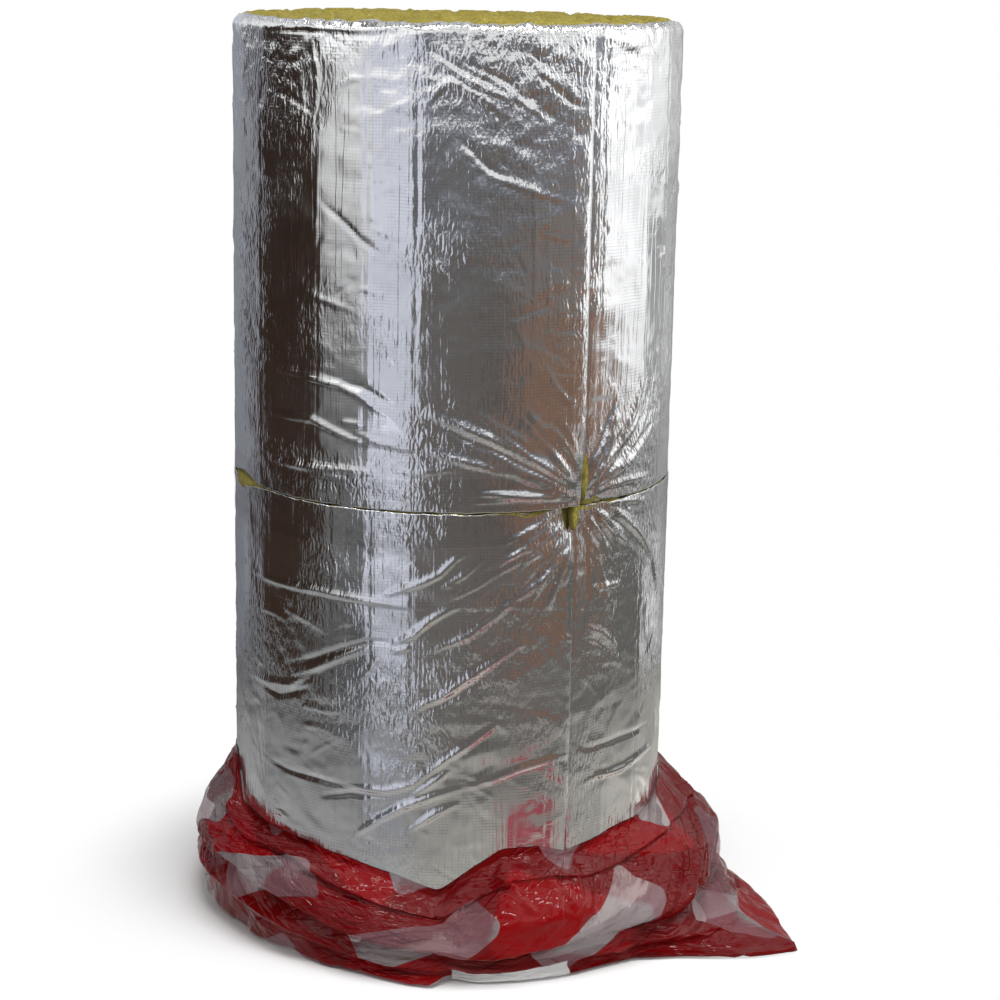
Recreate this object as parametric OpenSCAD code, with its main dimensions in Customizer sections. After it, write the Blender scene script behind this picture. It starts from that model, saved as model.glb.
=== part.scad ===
// Foil-faced insulation mat, wound into two rolls that are taped end to end
// and stand in their slipped-down wrap film.
// Millimetres, Z up. The origin is on the floor, on the axis of the rolls, and -Y is the front.

/* [Rolls] */
// Outer diameter of a roll
roll_d = 490; // [420:5:600]
// Width of the mat, which is the height of one roll
mat_w = 500; // [400:10:700]
// Thickness of one turn as it is wound
turn_t = 36; // [30:1:60]
// Diameter of the open core
core_d = 90; // [60:5:140]
// Rounding of the outer edge at both ends of a roll
edge_r = 14; // [8:1:20]
// Thickness of the foil facing with its glue and scrim
foil_t = 1; // [0.6:0.1:2]
// How far the foil is turned over the rounded edge, in degrees
foil_turn_a = 60; // [30:5:70]

/* [Outer end of the mat] */
// Angle of the outer end on the upper roll
upper_seam_a = -54.5; // [-90:0.5:0]
// Angle of the outer end on the lower roll
lower_seam_a = -57; // [-90:0.5:0]
// Height of the step that the outer end makes
lap_t = 6; // [3:0.5:12]
// Arc over which the step fades out
lap_arc = 60; // [40:5:110]

/* [Turns on the ends] */
// Width of the gap between two turns
gap_w = 3; // [2:0.5:6]
// Depth of the gap between two turns
gap_h = 6; // [2:0.5:12]
// Arc over which one turn climbs onto the turn below it
climb_arc = 150; // [80:10:300]

/* [Tape] */
// Width of the clear tape over the joint of the two rolls
tape_w = 72; // [48:1:100]
// Thickness of the tape
tape_t = 0.8; // [0.5:0.1:1.5]
// Tilt of the tape, up towards +X
tape_tilt = 2.5; // [0:0.5:4]

/* [Wrap film] */
// Height of the film's hem round the back of the roll
hem_h = 165; // [120:5:220]
// How far the hem sags at the front
hem_sag = 62; // [0:2:90]
// How far the heap of film reaches from the roll
heap_w = 44; // [25:1:80]
// How much further the heap reaches at the front
front_w = 30; // [0:1:60]
// How much further the loose tail reaches over the floor
tail_w = 146; // [40:2:220]
// Angle of the tail's tip
tail_a = -27; // [-60:1:0]
// Depth of the folds round the heap
fold_h = 5; // [0:0.5:8]
// Clearance between the roll and the film
film_gap = 0.5; // [0.3:0.1:2]

/* [Hidden] */
$fn = 96;

foil_colour = [0.80, 0.81, 0.82];
wool_colour = [0.66, 0.60, 0.20];
tape_colour = [0.82, 0.84, 0.84, 0.5];
film_colour = [0.70, 0.05, 0.06];

roll_r = roll_d / 2;
core_r = core_d / 2;
// Room by which a cutting body passes the faces that it cuts
past = 1;

// The lap is a circle that lies one step lower than the roll's outline at the seam and nearly meets it
// at the end of its arc, where lap_end_t is left: its centre is moved by lap_shift.
lap_end_t = 0.4;
knit_a = 1;
lap_r = roll_r - lap_t;
lap_end_r = roll_r - lap_end_t;
lap_shift = (lap_end_r * lap_end_r - lap_r * lap_r) / (2 * (lap_end_r - lap_r * cos(lap_arc)));

// Gap between two turns, by the angle a wound inwards from the outer end
gap_step_a = 10;
function climb(a) = let (x = min(1, (a % 360) / climb_arc)) x * x * (3 - 2 * x);
function turns_in(a) = floor(a / 360) + climb(a);
function gap_r(a) = roll_r - turn_t * turns_in(a) - lap_t * max(0, 1 - turns_in(a));
gap_end_a = 360 * ceil((roll_r - core_r) / turn_t);
gap_angles = [for (a = [1 : gap_step_a : gap_end_a]) if (gap_r(a) > core_r + gap_w) a];

// Heap of film: sections every film_step_a round the roll, each a profile of film_rows points
film_step_a = 3;
film_rows = 13;
front_a = -82;
front_half = 85;
tail_half = 26;
sag_half = 92;
// A heap is full, and the tail is drawn out thin
heap_power = 2.6;
tail_power = 0.75;
folds = 2.5;
fold_turn = 2;
ripple = 0.05;
film_in_r = (roll_r + film_gap) / cos(film_step_a / 2);

function apart(a, b) = abs(((a - b) % 360 + 540) % 360 - 180);
function bump(a, at, half) = apart(a, at) < half ? pow(cos(90 * apart(a, at) / half), 2) : 0;
function tail(a) = pow(bump(a, tail_a, tail_half), 1.5);
function waves(a) = ripple * (sin(5 * a + 40) + sin(8 * a) + 0.7 * sin(13 * a + 75));
function reach(a) = (heap_w + front_w * bump(a, front_a, front_half)) * (1 + waves(a)) + tail_w * tail(a);
function hem(a) = (hem_h - hem_sag * bump(a, front_a, sag_half)) * (1 + waves(a + 90));
function fall(a, s) = 1 - pow(s, heap_power + (tail_power - heap_power) * tail(a));
function fold(a, s) = fold_h * 4 * s * (1 - s) * sin(360 * folds * s + fold_turn * a);

function dir(a) = [cos(a), sin(a), 0];

// Half-section of the wound wool out to radius r, with the bare ends and the rounded edge under the foil
module wool_section(r) {
    square([r - edge_r, mat_w]);
    translate([0, edge_r]) square([r - foil_t, mat_w - 2 * edge_r]);
    edge_rounds(r, edge_r - foil_t);
}

// Half-section of the foil on the outer turn, turned over both edges
module foil_section(r) {
    intersection() {
        difference() {
            union() {
                translate([r - edge_r, edge_r]) square([edge_r, mat_w - 2 * edge_r]);
                edge_rounds(r, edge_r);
            }
            wool_section(r);
        }
        translate([r - edge_r * (1 - cos(foil_turn_a)), 0]) square([edge_r, mat_w]);
    }
}

module edge_rounds(r, round_r) {
    for (z = [edge_r, mat_w - edge_r]) translate([r - edge_r, z]) circle(round_r);
}

// Turned body of radius r: the foil skin, or the wool inside it
module turned(r, faced) {
    rotate_extrude() {
        if (faced) foil_section(r);
        else wool_section(r);
    }
}

// Wedge of the roll past the outer end of the mat
module wedge(from_a, arc) {
    far = 2 * roll_r;
    translate([0, 0, -past]) linear_extrude(mat_w + 2 * past)
        polygon([[0, 0], for (i = [0 : 2]) far * [cos(from_a + arc * i / 2), sin(from_a + arc * i / 2)]]);
}

// Turned body with the step of the mat's outer end. The foil's two arcs overlap by knit_a where the lap runs out.
module wound(seam_a, faced) {
    difference() {
        turned(roll_r, faced);
        wedge(seam_a, lap_arc - (faced ? knit_a : 0));
    }
    intersection() {
        translate(lap_shift * dir(seam_a + lap_arc)) turned(lap_end_r - lap_shift, faced);
        wedge(seam_a, lap_arc);
    }
}

// Spiral gap that shows between the turns on an end
module turn_gap(seam_a) {
    linear_extrude(gap_h + past) polygon([
        for (a = gap_angles) (gap_r(a) + gap_w / 2) * [cos(seam_a - a), sin(seam_a - a)],
        for (i = [len(gap_angles) - 1 : -1 : 0])
            (gap_r(gap_angles[i]) - gap_w / 2) * [cos(seam_a - gap_angles[i]), sin(seam_a - gap_angles[i])]
    ]);
}

module roll_wool(seam_a) {
    color(wool_colour) difference() {
        wound(seam_a, false);
        translate([0, 0, -past]) cylinder(h = mat_w + 2 * past, r = core_r);
        translate([0, 0, -past]) turn_gap(seam_a);
        translate([0, 0, mat_w - gap_h]) turn_gap(seam_a);
    }
}

module roll_foil(seam_a) {
    color(foil_colour) wound(seam_a, true);
}

module upper_wool() { translate([0, 0, mat_w]) roll_wool(upper_seam_a); }
module upper_foil() { translate([0, 0, mat_w]) roll_foil(upper_seam_a); }
module lower_wool() { roll_wool(lower_seam_a); }
module lower_foil() { roll_foil(lower_seam_a); }

// Clear tape once round the joint, stuck on a little askew
module joint_tape() {
    band_h = tape_w + 2 * roll_d * tan(tape_tilt);
    color(tape_colour) intersection() {
        translate([0, 0, mat_w - band_h / 2]) difference() {
            cylinder(h = band_h, r = roll_r + tape_t);
            translate([0, 0, -past]) cylinder(h = band_h + 2 * past, r = roll_r);
        }
        translate([0, 0, mat_w]) rotate([0, -tape_tilt, 0]) cube([2 * roll_d, 2 * roll_d, tape_w], center = true);
    }
}

// One section of the heap at angle a: up the roll to the hem, then out and down to the floor
function film_profile(a) = [
    [film_in_r, 0],
    for (j = [0 : film_rows - 2])
        let (s = j / (film_rows - 2))
            [film_in_r + reach(a) * s + fold(a, s) * (s > 0 ? 1 : 0), hem(a) * fall(a, s)]
];

// Wrap film that has slipped down and lies heaped round the foot of the lower roll
module wrap_film() {
    angles = [for (a = [0 : film_step_a : 359]) a];
    count = len(angles);
    points = [for (a = angles) for (p = film_profile(a)) p[0] * dir(a) + [0, 0, p[1]]];
    color(film_colour) polyhedron(points, [
        for (i = [0 : count - 1])
            for (j = [0 : film_rows - 1])
                let (
                    here = i * film_rows,
                    there = ((i + 1) % count) * film_rows,
                    k = (j + 1) % film_rows
                )
                    each [[here + j, here + k, there + k], [here + j, there + k, there + j]]
    ]);
}

upper_wool();
upper_foil();
lower_wool();
lower_foil();
joint_tape();
wrap_film();
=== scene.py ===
import math

import bmesh
import bpy
import numpy as np
from mathutils import Matrix, Vector
from mathutils.bvhtree import BVHTree
from mathutils.geometry import delaunay_2d_cdt


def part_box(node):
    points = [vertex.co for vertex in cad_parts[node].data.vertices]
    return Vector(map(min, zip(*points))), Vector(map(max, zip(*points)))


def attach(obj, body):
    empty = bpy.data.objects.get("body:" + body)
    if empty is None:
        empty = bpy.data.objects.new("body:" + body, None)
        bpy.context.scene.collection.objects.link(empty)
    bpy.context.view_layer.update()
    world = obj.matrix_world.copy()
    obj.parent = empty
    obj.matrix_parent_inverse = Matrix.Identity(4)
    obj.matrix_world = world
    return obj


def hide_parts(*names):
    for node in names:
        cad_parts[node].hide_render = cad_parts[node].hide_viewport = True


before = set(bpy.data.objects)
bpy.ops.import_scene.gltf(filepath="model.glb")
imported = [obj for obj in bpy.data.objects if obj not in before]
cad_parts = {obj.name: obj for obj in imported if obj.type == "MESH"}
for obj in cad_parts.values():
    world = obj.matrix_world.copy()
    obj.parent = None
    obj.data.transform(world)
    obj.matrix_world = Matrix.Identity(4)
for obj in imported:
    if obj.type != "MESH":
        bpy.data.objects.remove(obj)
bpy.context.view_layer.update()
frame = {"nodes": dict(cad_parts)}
print("frame loaded:", ", ".join(frame["nodes"]))


# Shader maths: a Wire is a socket, and an expression on wires adds its Math nodes.
class Wire:
    def __init__(self, finish, socket):
        self.finish = finish
        self.socket = socket

    def also(self, name):
        return Wire(self.finish, self.socket.node.outputs[name])

    def maths(self, operation, first, second=0.0):
        return self.finish.node("ShaderNodeMath", {"operation": operation}, {0: first, 1: second})

    def __add__(self, other):
        return self.maths("ADD", self, other)

    def __radd__(self, other):
        return self.maths("ADD", other, self)

    def __sub__(self, other):
        return self.maths("SUBTRACT", self, other)

    def __rsub__(self, other):
        return self.maths("SUBTRACT", other, self)

    def __mul__(self, other):
        return self.maths("MULTIPLY", self, other)

    def __rmul__(self, other):
        return self.maths("MULTIPLY", other, self)

    def __truediv__(self, other):
        return self.maths("DIVIDE", self, other)

    def __pow__(self, other):
        return self.maths("POWER", self, other)

    def __mod__(self, other):
        return self.maths("FLOORED_MODULO", self, other)

    def floor(self):
        return self.maths("FLOOR", self)

    def root(self):
        return self.maths("SQRT", self)

    def sine(self):
        return self.maths("SINE", self)

    def absolute(self):
        return self.maths("ABSOLUTE", self)

    def most(self, other):
        return self.maths("MAXIMUM", self, other)

    def ease(self, low, high):
        return self.finish.node(
            "ShaderNodeMapRange",
            {"interpolation_type": "SMOOTHSTEP"},
            {0: self, 1: low, 2: high},
        )


# A Finish is one material, or the world, with its node tree.
class Finish:
    def __init__(self, name, world=None):
        self.block = world or bpy.data.materials.new(name)
        self.block.use_nodes = True
        self.tree = self.block.node_tree
        self.tree.nodes.clear()

    def node(self, kind, settings, inputs, output=0):
        made = self.tree.nodes.new(kind)
        for key, value in settings.items():
            setattr(made, key, value)
        for key, value in inputs.items():
            if isinstance(value, Wire):
                self.tree.links.new(value.socket, made.inputs[key])
            else:
                made.inputs[key].default_value = value
        return Wire(self, made.outputs[output]) if made.outputs else made

    def blend(self, factor, first, second):
        return self.node("ShaderNodeMix", {"data_type": "RGBA"}, {0: factor, 6: first, 7: second}, 2)

    def place(self, name):
        return self.node("ShaderNodeAttribute", {"attribute_name": name}, {}, 1)

    def split(self, vector):
        return self.node("ShaderNodeSeparateXYZ", {}, {0: vector})

    def stretch(self, vector, scale):
        return self.node("ShaderNodeVectorMath", {"operation": "MULTIPLY"}, {0: vector, 1: scale})

    def noise(self, vector, scale, detail=2.0, roughness=0.5, distortion=0.0):
        inputs = {"Vector": vector, "Scale": scale, "Detail": detail}
        inputs |= {"Roughness": roughness, "Distortion": distortion}
        return self.node("ShaderNodeTexNoise", {}, inputs)

    def flatNoise(self, vector, scale, detail=2.0, output=0):
        settings = {"noise_dimensions": "2D"}
        inputs = {"Vector": vector, "Scale": scale, "Detail": detail}
        return self.node("ShaderNodeTexNoise", settings, inputs, output)

    def flatCells(self, vector, scale):
        # height of little hipped roofs over random cells of a sheet
        settings = {"voronoi_dimensions": "2D", "feature": "DISTANCE_TO_EDGE"}
        return self.node("ShaderNodeTexVoronoi", settings, {"Vector": vector, "Scale": scale})

    def turn(self, vector, angle):
        settings = {"rotation_type": "Z_AXIS"}
        return self.node("ShaderNodeVectorRotate", settings, {"Vector": vector, "Angle": angle})

    def creases(self, vector, angle, stretch, scale, thin=16.0):
        # long ridges along the lines where a stretched noise crosses its middle
        level = self.flatNoise(self.stretch(self.turn(vector, angle), stretch), scale, 1.0)
        return (1 - (level - 0.5).absolute() * thin).most(0.0)

    def drift(self, vector, scale, far):
        # the same places, moved about a little
        settings = {"operation": "MULTIPLY_ADD"}
        move = self.flatNoise(vector, scale, 2.0, "Color")
        return self.node("ShaderNodeVectorMath", settings, {0: move, 1: (far, far, 0.0), 2: vector})

    def bump(self, height, distance, strength=1.0):
        inputs = {"Height": height, "Distance": distance, "Strength": strength}
        return self.node("ShaderNodeBump", {}, inputs)

    def seenRays(self):
        # 1 for rays from the camera, and for those by way of a mirror or a clear film
        path = self.node("ShaderNodeLightPath", {}, {})
        mirrored = path.also("Is Glossy Ray").most(path.also("Is Transmission Ray"))
        return path.also("Is Camera Ray").most(mirrored)

    def close(self, surface):
        world = isinstance(self.block, bpy.types.World)
        kind = "ShaderNodeOutputWorld" if world else "ShaderNodeOutputMaterial"
        self.node(kind, {}, {"Surface": surface})
        return self.block

    def principled(self, inputs):
        return self.close(self.node("ShaderNodeBsdfPrincipled", {}, inputs))


def rgb(red, green, blue):
    return (red, green, blue, 1.0)


# Sizes of the roll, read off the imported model.
foilLow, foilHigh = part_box("lower_foil")
rollRadius = (foilHigh.y - foilLow.y) / 2
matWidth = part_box("lower_wool")[1].z
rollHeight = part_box("upper_wool")[1].z
print("sizes read:", round(2 * rollRadius, 3), "m across,", round(rollHeight, 3), "m tall")

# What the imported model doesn't show as a box: the same values as in the part's source.
roll = {
    "coreRadius": 0.045,
    "turn": 0.036,
    "lap": 0.006,
    "lapArc": 60.0,
    "upperSeam": -54.5,
    "lowerSeam": -57.0,
}


def smooth(x, low, high):
    t = np.clip((x - low) / (high - low), 0.0, 1.0)
    return t * t * (3 - 2 * t)


def within(x, low, high, soft):
    # 1 between low and high, falling off softly at both
    return smooth(x, low - soft / 2, low + soft / 2) * (1 - smooth(x, high - soft / 2, high + soft / 2))


def bell(x, wide, middle=0.0):
    return np.exp(-(((x - middle) / wide) ** 2))


def onRound(radius, turn, z):
    # points at a distance from the roll's axis, a turn in radians and a height
    return np.stack(np.broadcast_arrays(radius * np.cos(turn), radius * np.sin(turn), z), axis=-1)


def outermost(trees, turn, z):
    # how far from the axis the surface lies that a ray from outside meets first, or 0
    aim = Vector((-math.cos(turn), -math.sin(turn), 0))
    start = Vector((0, 0, z)) - aim * 2 * rollRadius
    hits = [tree.ray_cast(start, aim, 1.5 * rollRadius)[0] for tree in trees]
    return max((hit.to_2d().length for hit in hits if hit), default=0.0)


def addObject(name, data):
    made = bpy.data.objects.new(name, data)
    bpy.context.scene.collection.objects.link(made)
    return made


# A mesh from a grid of points, with its own place on the sheet kept as an attribute.
def gridMesh(name, points, place=None, closed=False, flip=False):
    rows, columns = points.shape[:2]
    index = np.arange(rows * columns).reshape(rows, columns)
    if closed:
        index = np.concatenate([index, index[:, :1]], axis=1)
    corners = np.stack([index[:-1, :-1], index[:-1, 1:], index[1:, 1:], index[1:, :-1]], axis=-1)
    corners = corners.reshape(-1, 4)
    if flip:
        corners = corners[:, ::-1]
    mesh = bpy.data.meshes.new(name)
    mesh.vertices.add(rows * columns)
    mesh.vertices.foreach_set("co", points.reshape(-1).astype(np.float32))
    mesh.loops.add(corners.size)
    mesh.loops.foreach_set("vertex_index", corners.reshape(-1).astype(np.int32))
    mesh.polygons.add(len(corners))
    mesh.polygons.foreach_set("loop_start", np.arange(0, corners.size, 4, dtype=np.int32))
    mesh.polygons.foreach_set("use_smooth", np.ones(len(corners), dtype=bool))
    if place is not None:
        layer = mesh.attributes.new("place", "FLOAT_VECTOR", "POINT")
        layer.data.foreach_set("vector", place.reshape(-1).astype(np.float32))
    mesh.update(calc_edges=True)
    mesh.validate()
    return addObject(name, mesh)


def dress(piece, finish):
    piece.data.materials.clear()
    piece.data.materials.append(finish)
    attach(piece, "root")


# Camera at the photograph's viewing angle.
cameraSet = {
    "distance": 2.641,
    "height": 1.073,
    "tilt": 13.1,
    "turn": 1.163,
    "roll": 0.86,
    "lens": 85.8,
    "sensor": 36.0,
    "pixels": 1000,
}


def makeCamera(v):
    data = bpy.data.cameras.new("camera")
    data.lens = v["lens"]
    data.sensor_width = v["sensor"]
    camera = addObject("camera", data)
    tilt, turn, lean = (math.radians(v[key]) for key in ("tilt", "turn", "roll"))
    ahead = Vector((0, math.cos(tilt), -math.sin(tilt)))
    up = Vector((0, math.sin(tilt), math.cos(tilt)))
    right = Vector((1, 0, 0))
    leanRight = math.cos(lean) * right + math.sin(lean) * up
    leanUp = math.cos(lean) * up - math.sin(lean) * right
    aim = math.cos(turn) * ahead + math.sin(turn) * leanRight
    side = math.cos(turn) * leanRight - math.sin(turn) * ahead
    place = Matrix((side, leanUp, -aim)).transposed().to_4x4()
    place.translation = Vector((0, -v["distance"], v["height"]))
    camera.matrix_world = place
    bpy.context.scene.camera = camera
    return camera


camera = makeCamera(cameraSet)
bpy.context.scene.view_settings.view_transform = "Standard"
print("camera set")


# Stage: pale floor, even room light, soft boxes, and a ring of cards that only the shiny surfaces see.
stageSet = {
    "floorRadius": 6.0,
    "floorSides": 96,
    "floorColour": rgb(0.93, 0.93, 0.93),
    "shadowReach": (0.27, 0.48),
    "roomColour": rgb(1.0, 1.0, 1.0),
    "roomLight": 0.34,
    "lampAim": (0, 0, 0.4),
}

# Soft boxes: place, width, height and power.
softBoxes = {
    "softBoxLeft": ((-2.2, -1.6, 2.2), 1.6, 1.6, 7),
    "softBoxRight": ((2.0, -1.4, 2.0), 1.4, 1.8, 24),
    "softBoxTop": ((0.3, -0.9, 2.8), 1.6, 1.6, 62),
}

tints = {
    "plain": (1.0, 1.0, 1.0),
    "warm": (1.10, 0.98, 0.91),
    "brown": (1.48, 0.93, 0.68),
    "lilac": (0.95, 0.98, 1.10),
    "olive": (1.04, 1.0, 0.91),
    "red": (1.8, 0.24, 0.36),
}

ringSet = {
    "seed": 3,
    "radius": 1.05,
    "floorFrom": 0.26,
    "floorLift": 0.002,
    "wallTop": 1.52,
    "lidTo": 0.05,
    "lidRise": 0.3,
    "floorRows": 17,
    "wallRows": 76,
    "lidRows": 21,
    "columns": 360,
    "plainLight": 0.125,
    "softHeight": 0.05,
    "clutter": 520,
    "clutterLight": (0.5, 1.6),
    "clutterWide": (1.5, 8.0),
    "clutterTall": (0.03, 0.26),
    "clutterSoftWide": 0.8,
    "clutterSoftTall": 0.03,
}

# Panels of the ring, each laid over those before it: azimuth from and to (0 is towards the camera, positive
# to the right), lowest and highest point in m (below 0 on the floor, above the wall's top on the lid),
# brightness at those two, soft edge in degrees, tint.
panels = {
    "floor": (-200, 200, -0.82, 0.02, 0.41, 0.10, 4, "plain"),
    "floorFront": (-12, 66, -0.82, 0.02, 0.45, 0.13, 12, "olive"),
    "floorRight": (66, 200, -0.82, 0.02, 0.62, 0.16, 8, "olive"),
    "floorRed": (23, 48, -0.55, -0.38, 0.19, 0.15, 5, "red"),
    "brownWall": (26, 73, 0.10, 0.60, 0.105, 0.135, 12, "brown"),
    "greyWall": (26, 73, 0.58, 0.78, 0.15, 0.16, 12, "warm"),
    "warmWall": (-14, 28, 0.05, 0.62, 0.12, 0.10, 8, "warm"),
    "coolWall": (-14, 73, 0.76, 1.00, 0.14, 0.26, 8, "lilac"),
    "leftWall": (-200, -113, 0.0, 1.00, 0.18, 0.30, 8, "lilac"),
    "doorway": (-112, -63, 0.05, 0.98, 0.026, 0.016, 7, "brown"),
    "leftScreen": (-60, -37, 0.03, 0.57, 0.05, 0.20, 14, "plain"),
    "leftScreenHigh": (-60, -37, 0.55, 1.00, 0.36, 0.82, 12, "plain"),
    "window": (-38, -16.5, -0.30, 1.00, 0.30, 0.74, 4, "lilac"),
    "rightWindow": (75, 110, 0.38, 1.00, 0.82, 1.45, 3, "plain"),
    "rightWindowHigh": (102, 124, 0.70, 1.00, 0.80, 0.95, 6, "plain"),
    "rightPost": (66, 83, 0.28, 0.55, 0.19, 0.19, 5, "brown"),
    "rightFoot": (69, 113, 0.03, 0.30, 0.10, 0.10, 4, "olive"),
    "rightShelf": (64, 108, 0.27, 0.39, 0.32, 0.32, 5, "plain"),
    "rightWall": (114, 200, 0.0, 0.70, 0.36, 0.38, 6, "plain"),
    "rightWallHigh": (124, 200, 0.68, 1.00, 0.40, 0.44, 6, "plain"),
    "ceiling": (-200, 200, 1.00, 1.55, 0.78, 0.78, 4, "plain"),
    "ceilingLeft": (-66, -14, 1.00, 1.55, 1.0, 1.0, 5, "plain"),
    "ceilingRight": (66, 112, 1.00, 1.55, 1.2, 1.2, 5, "plain"),
    "ceilingBack": (130, 200, 1.00, 1.55, 0.6, 0.6, 8, "plain"),
    "ceilingFarLeft": (-200, -130, 1.00, 1.55, 0.6, 0.6, 8, "lilac"),
    "lid": (-200, 200, 1.52, 2.70, 0.62, 0.62, 4, "plain"),
    "beamLow": (-200, 200, 1.66, 1.76, 0.05, 0.05, 4, "plain"),
    "beamHigh": (-200, 200, 2.06, 2.20, 0.06, 0.06, 4, "plain"),
    "lampLeft": (-70, -46, 1.84, 1.95, 12.0, 12.0, 3, "plain"),
    "lampFront": (-14, 8, 1.84, 1.95, 16.0, 16.0, 3, "plain"),
    "lampMiddle": (18, 36, 1.90, 2.01, 16.0, 16.0, 3, "plain"),
    "lampRight": (62, 84, 1.78, 1.89, 16.0, 16.0, 3, "plain"),
}


def ringRows(v):
    # radius, z and height along the ring's section: out over the floor, up the wall and in over the lid
    edge = v["radius"]
    rows = [
        (radius, v["floorLift"], radius - edge)
        for radius in np.linspace(v["floorFrom"], edge, v["floorRows"])[:-1]
    ]
    rows += [(edge, z, z) for z in np.linspace(v["floorLift"], v["wallTop"], v["wallRows"])]
    for inward in np.linspace(0, edge - v["lidTo"], v["lidRows"])[1:]:
        rows.append((edge - inward, v["wallTop"] + v["lidRise"] * inward, v["wallTop"] + inward))
    return rows


def makeRing(v):
    dice = np.random.default_rng(v["seed"])
    azimuth = np.linspace(-180, 180, v["columns"], endpoint=False)
    # odds and ends in the room, a little darker or lighter than what is behind them
    lowest, highest = v["floorFrom"] - v["radius"], v["wallTop"] + v["radius"]
    clutter = [
        (
            dice.uniform(-180, 180),
            dice.uniform(*v["clutterWide"]),
            dice.uniform(lowest, highest),
            dice.uniform(*v["clutterTall"]),
            dice.uniform(*v["clutterLight"]),
        )
        for _ in range(v["clutter"])
    ]
    points = []
    colours = []
    for radius, z, height in ringRows(v):
        points.append(onRound(radius, np.radians(azimuth - 90), z))
        light = np.full((len(azimuth), 3), v["plainLight"])
        for start, end, low, high, first, last, soft, tint in panels.values():
            level = first + (last - first) * np.clip((height - low) / (high - low), 0, 1)
            share = within(azimuth, start, end, soft) * within(height, low, high, v["softHeight"])
            light += share[:, None] * (level * np.array(tints[tint]) - light)
        for middle, wide, low, tall, factor in clutter:
            share = within(azimuth, middle - wide / 2, middle + wide / 2, v["clutterSoftWide"])
            share *= within(height, low, low + tall, v["clutterSoftTall"])
            light *= 1 + (factor - 1) * share[:, None]
        colours.append(light)
    card = gridMesh("roomCard", np.array(points), np.array(colours), closed=True)
    finish = Finish("roomCard")
    glow = finish.node("ShaderNodeEmission", {}, {"Color": finish.place("place"), "Strength": 1.0})
    card.data.materials.append(finish.close(glow))
    card.visible_camera = False
    card.visible_diffuse = False
    card.visible_shadow = False
    card.visible_transmission = False
    card.visible_volume_scatter = False
    return card


def makeSoftBox(name, place, width, height, power, aim):
    data = bpy.data.lights.new(name, "AREA")
    data.shape = "RECTANGLE"
    data.size = width
    data.size_y = height
    data.energy = power
    lamp = addObject(name, data)
    lamp.location = place
    lamp.rotation_mode = "QUATERNION"
    lamp.rotation_quaternion = (Vector(aim) - Vector(place)).to_track_quat("-Z", "Y")
    lamp.visible_glossy = False


def makeFloor(v):
    bpy.ops.mesh.primitive_circle_add(vertices=v["floorSides"], radius=v["floorRadius"], fill_type="NGON")
    floor = bpy.context.object
    floor.name = "floor"
    finish = Finish("floor")
    spot = finish.node("ShaderNodeNewGeometry", {}, {}, "Position")
    reach = finish.node("ShaderNodeVectorMath", {"operation": "LENGTH"}, {0: spot}, "Value")
    matt = finish.node("ShaderNodeBsdfDiffuse", {}, {"Color": v["floorColour"]})
    white = finish.node("ShaderNodeEmission", {}, {"Color": v["roomColour"], "Strength": 1.0})
    # white past the reach of the shadow
    plain = reach.ease(*v["shadowReach"]) * finish.seenRays()
    floor.data.materials.append(
        finish.close(finish.node("ShaderNodeMixShader", {}, {0: plain, 1: matt, 2: white}))
    )
    return floor


def makeStage(v):
    makeFloor(v)
    makeRing(ringSet)
    world = bpy.data.worlds.new("room")
    bpy.context.scene.world = world
    sky = Finish("room", world)
    strength = sky.seenRays() * (1 - v["roomLight"]) + v["roomLight"]
    sky.close(sky.node("ShaderNodeBackground", {}, {"Color": v["roomColour"], "Strength": strength}))
    for name, values in softBoxes.items():
        makeSoftBox(name, *values, v["lampAim"])


makeStage(stageSet)
print("stage set")


# Crumples: a faceted height over a sheet, from random points joined into triangles.
def facets(along, up, cell, stretch, lean, dice, stray=0.45):
    turn = np.array([[math.cos(lean), math.sin(lean)], [-math.sin(lean), math.cos(lean)]])
    spots = np.stack([along, up], axis=-1).reshape(-1, 2) @ turn.T / np.array([cell * stretch, cell])
    low = np.floor(spots.min(axis=0)) - 2
    count = (np.ceil(spots.max(axis=0)) + 2 - low).astype(int)
    grid = np.stack(np.meshgrid(np.arange(count[0]), np.arange(count[1])), axis=-1).reshape(-1, 2)
    grid = low + grid + dice.uniform(-stray, stray, grid.shape)
    height = dice.uniform(-1, 1, len(grid))
    made = delaunay_2d_cdt([Vector(point) for point in grid], [], [], 0, 1e-6)
    origin = [ids[0] for ids in made[3]]
    corners = [Vector((point.x, point.y, height[i])) for point, i in zip(made[0], origin)]
    tree = BVHTree.FromPolygons(corners, made[2])
    down = Vector((0, 0, -1))
    hits = [tree.ray_cast(Vector((x, y, 5.0)), down)[0] for x, y in spots]
    return np.array([hit.z if hit else 0.0 for hit in hits]).reshape(along.shape)


# Outer turn of a roll: the flats of the mat's slats, and the step at the outer end.
wallSet = {
    "slatPitch": 13.2,
    "slatLast": 1.4,
    "slatFlat": 0.60,
    "slatGroove": 0.0006,
    "slatGrooveWidth": 0.0024,
    "edgeDip": 0.0045,
    "edgeDipWidth": 0.004,
}

# Slat edges that show, in degrees; the rest follow at the slat's pitch.
upperSlats = [
    -172, -159, -146.4, -136, -125.6, -112.2, -99.2, -85.5, -71.6, -60.9, -54.5, -50.6, -34, -22.5, -9, 4,
]
lowerSlats = [-170, -157, -144, -133, -121.5, -110.5, -99.4, -86, -73, -64, -57, -44, -31, -18, -5]


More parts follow.
